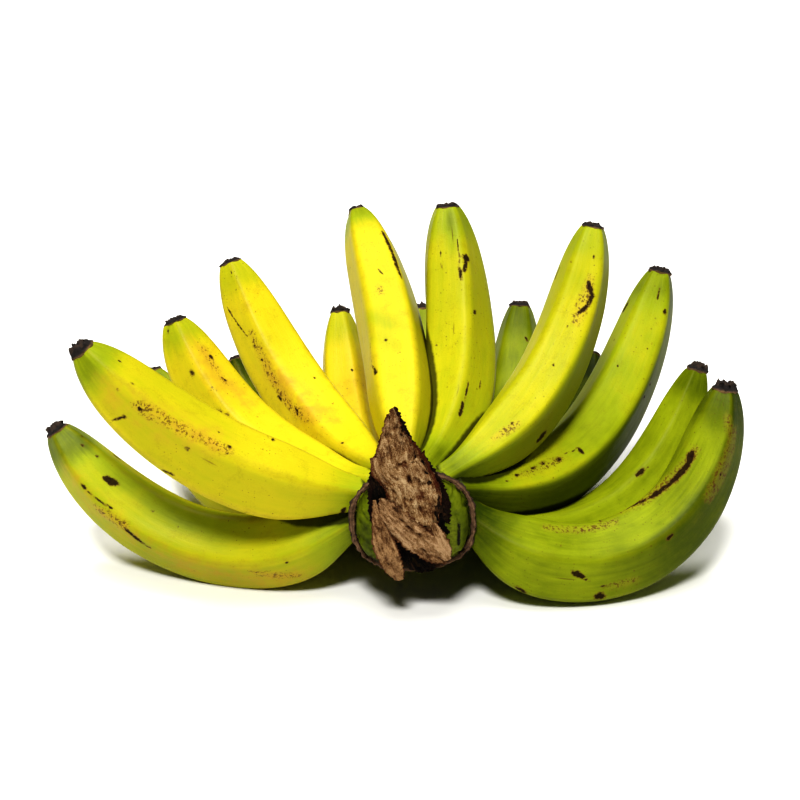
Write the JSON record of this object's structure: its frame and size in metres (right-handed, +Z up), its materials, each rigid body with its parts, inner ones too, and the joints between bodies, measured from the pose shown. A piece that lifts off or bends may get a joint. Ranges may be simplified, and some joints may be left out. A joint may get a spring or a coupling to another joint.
{
  "type": "bunch of bananas",
  "caption": "Hand of bananas in two rows on one crown, green at one side and ripening to yellow at the other, lying on its lower row with a slice of the brown stalk at its front.",
  "frame": {"origin": "middle of the hand's box, on the surface it lies on", "axes": "+X to the hand's right seen from its cut stalk, +Y from the stalk to the tips of the middle fingers, +Z up"},
  "size_m": [0.3138, 0.1948, 0.1501],
  "materials": {
    "peel_yellow": "smooth ripe banana peel, waxy",
    "peel_turning": "smooth yellow-green banana peel, waxy",
    "peel_green": "smooth green banana peel, waxy",
    "blossom_scar": "dry black-brown scar tissue",
    "crown_flesh": "creased green skin",
    "bract_scar": "dry brown ridge",
    "stalk_fibre": "torn dry brown fibre"
  },
  "bodies": {
    "root": {"finger_upper_1": "peel_yellow", "blossom_end_upper_1": "blossom_scar", "finger_upper_2": "peel_yellow", "blossom_end_upper_2": "blossom_scar", "finger_upper_3": "peel_yellow", "blossom_end_upper_3": "blossom_scar", "finger_upper_4": "peel_yellow", "blossom_end_upper_4": "blossom_scar", "finger_upper_5": "peel_yellow", "blossom_end_upper_5": "blossom_scar", "finger_upper_6": "peel_turning", "blossom_end_upper_6": "blossom_scar", "finger_upper_7": "peel_turning", "blossom_end_upper_7": "blossom_scar", "finger_upper_8": "peel_green", "blossom_end_upper_8": "blossom_scar", "finger_upper_9": "peel_green", "blossom_end_upper_9": "blossom_scar", "finger_lower_1": "peel_yellow", "blossom_end_lower_1": "blossom_scar", "finger_lower_2": "peel_yellow", "blossom_end_lower_2": "blossom_scar", "finger_lower_3": "peel_yellow", "blossom_end_lower_3": "blossom_scar", "finger_lower_4": "peel_turning", "blossom_end_lower_4": "blossom_scar", "finger_lower_5": "peel_green", "blossom_end_lower_5": "blossom_scar", "finger_lower_6": "peel_green", "blossom_end_lower_6": "blossom_scar", "finger_lower_7": "peel_green", "blossom_end_lower_7": "blossom_scar", "crown": "crown_flesh", "crown_rim": "bract_scar", "stalk_slice": "stalk_fibre", "stalk_flap": "stalk_fibre"}
  },
  "joints": []
}
